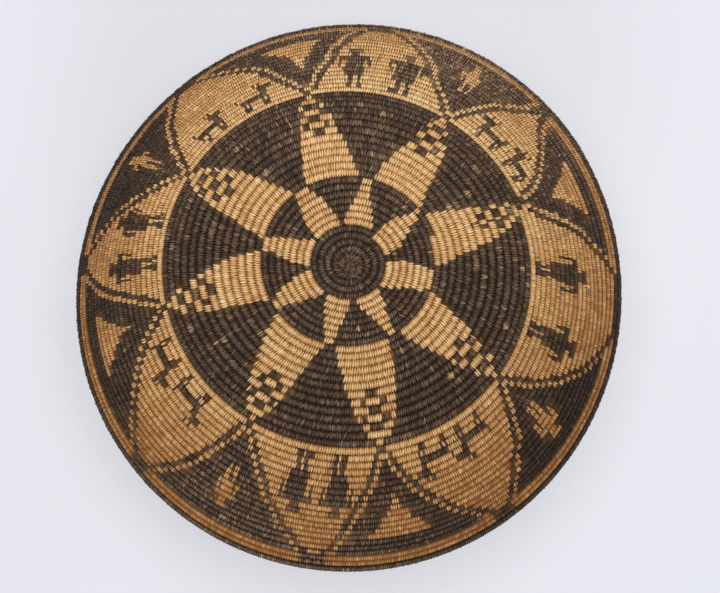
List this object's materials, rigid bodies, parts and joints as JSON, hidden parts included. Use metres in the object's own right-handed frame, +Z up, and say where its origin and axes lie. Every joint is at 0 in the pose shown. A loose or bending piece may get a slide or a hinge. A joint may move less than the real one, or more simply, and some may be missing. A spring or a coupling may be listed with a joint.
{
  "type": "coiled basket tray",
  "caption": "Round bowl-shaped tray of one stitched plant coil, with a flat base, a curved wall, and light petals and figures on a dark ground.",
  "frame": {"origin": "middle of the flat base's underside, under the middle of the basket's outline", "axes": "+Z up out of the open bowl, +Y the top of the picture, +X its right"},
  "size_m": [0.387, 0.4084, 0.104],
  "materials": {
    "willow_wrapping": "satin golden-tan split willow, polished by handling, each stitch a little lighter or darker",
    "devils_claw_wrapping": "dull to satin brown-black split seed-pod fibre with brown flecks and streaks",
    "patterned_wrapping": "satin; stitches of tan willow and brown-black devil's claw side by side in one round"
  },
  "bodies": {
    "root": {"start_knot": "devils_claw_wrapping", "coil_round_02": "devils_claw_wrapping", "coil_round_03": "devils_claw_wrapping", "coil_round_04": "devils_claw_wrapping", "coil_round_05": "devils_claw_wrapping", "coil_round_06": "patterned_wrapping", "coil_round_07": "patterned_wrapping", "coil_round_08": "patterned_wrapping", "coil_round_09": "patterned_wrapping", "coil_round_10": "patterned_wrapping", "coil_round_11": "patterned_wrapping", "coil_round_12": "patterned_wrapping", "coil_round_13": "patterned_wrapping", "coil_round_14": "patterned_wrapping", "coil_round_15": "patterned_wrapping", "coil_round_16": "patterned_wrapping", "coil_round_17": "patterned_wrapping", "coil_round_18": "patterned_wrapping", "coil_round_19": "patterned_wrapping", "coil_round_20": "patterned_wrapping", "coil_round_21": "patterned_wrapping", "coil_round_22": "patterned_wrapping", "coil_round_23": "patterned_wrapping", "coil_round_24": "patterned_wrapping", "coil_round_25": "patterned_wrapping", "coil_round_26": "willow_wrapping", "coil_round_27": "patterned_wrapping", "coil_round_28": "patterned_wrapping", "coil_round_29": "patterned_wrapping", "coil_round_30": "patterned_wrapping", "coil_round_31": "patterned_wrapping", "coil_round_32": "patterned_wrapping", "coil_round_33": "patterned_wrapping", "coil_round_34": "patterned_wrapping", "coil_round_35": "patterned_wrapping", "coil_round_36": "patterned_wrapping", "coil_round_37": "patterned_wrapping", "coil_round_38": "patterned_wrapping", "coil_round_39": "patterned_wrapping", "coil_round_40": "patterned_wrapping", "coil_round_41": "patterned_wrapping", "coil_round_42": "patterned_wrapping", "coil_round_43": "patterned_wrapping", "coil_round_44": "willow_wrapping", "coil_round_45": "willow_wrapping", "rim_coil": "devils_claw_wrapping"}
  },
  "joints": []
}
